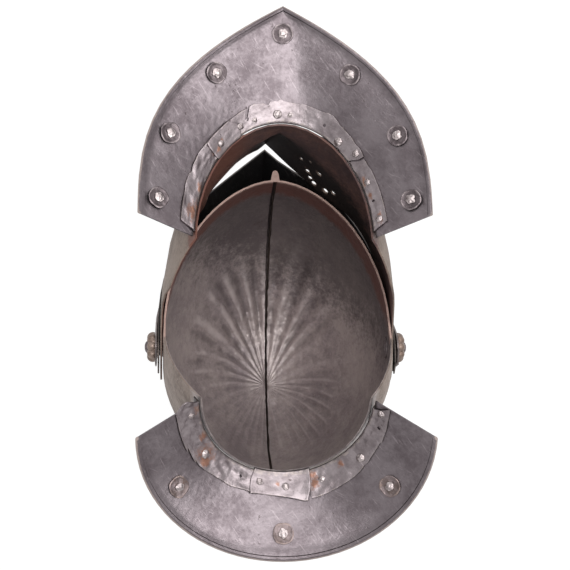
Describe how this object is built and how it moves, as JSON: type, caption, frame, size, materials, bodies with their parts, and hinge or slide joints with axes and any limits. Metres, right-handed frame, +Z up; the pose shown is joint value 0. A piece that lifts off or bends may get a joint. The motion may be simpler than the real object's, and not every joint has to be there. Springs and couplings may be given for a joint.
{
  "type": "close helmet",
  "caption": "Steel close helmet with a combed skull, a bevor, ventail and visor on one pair of pivots, and riveted gorget plates, shown with the face pieces lifted.",
  "frame": {"origin": "middle of the axis through the two face-piece pivots", "axes": "+Z up as worn, -Y towards the wearer's front, +X towards the wearer's left"},
  "size_m": [0.2268, 0.4141, 0.3313],
  "materials": {
    "steel": "worn dark satin",
    "dark_steel": "dark with a reddish patina",
    "band_steel": "worn satin with light edges",
    "rivet_steel": "worn bright",
    "rusty_steel": "brown patina"
  },
  "bodies": {
    "skull_body": {"skull": "steel", "rear_gorget_plate": "steel", "rear_neck_band_left": "band_steel", "rear_neck_band_right": "band_steel", "rear_neck_band_patch": "band_steel", "rear_gorget_rivets": "rivet_steel", "rear_gorget_washers": "rusty_steel", "rear_band_rivets": "rivet_steel", "left_pivot_rivet": "rivet_steel", "right_pivot_rivet": "rivet_steel", "left_rosette": "rusty_steel", "right_rosette": "rusty_steel", "left_pivot_washer": "steel", "right_pivot_washer": "steel"},
    "bevor_body": {"bevor": "dark_steel", "front_gorget_plate": "steel", "front_neck_band_left": "band_steel", "front_neck_band_centre": "band_steel", "front_neck_band_right": "band_steel", "front_neck_band_patch": "band_steel", "front_gorget_rivets": "rivet_steel", "front_gorget_washers": "steel", "front_band_rivets": "rivet_steel"},
    "ventail_body": {"ventail": "steel"},
    "visor_body": {"visor": "steel"}
  },
  "joints": [
    {"name": "bevor_hinge", "type": "hinge", "parent": "skull_body", "child": "bevor_body", "pos_m": [0, 0, 0], "axis": [1, 0, 0], "range_deg": [0, 57.7]},
    {"name": "ventail_hinge", "type": "hinge", "parent": "bevor_body", "child": "ventail_body", "pos_m": [0, 0, 0], "axis": [1, 0, 0], "range_deg": [-29, 14]},
    {"name": "visor_hinge", "type": "hinge", "parent": "ventail_body", "child": "visor_body", "pos_m": [0, 0, 0], "axis": [1, 0, 0], "range_deg": [-30, 0]}
  ]
}
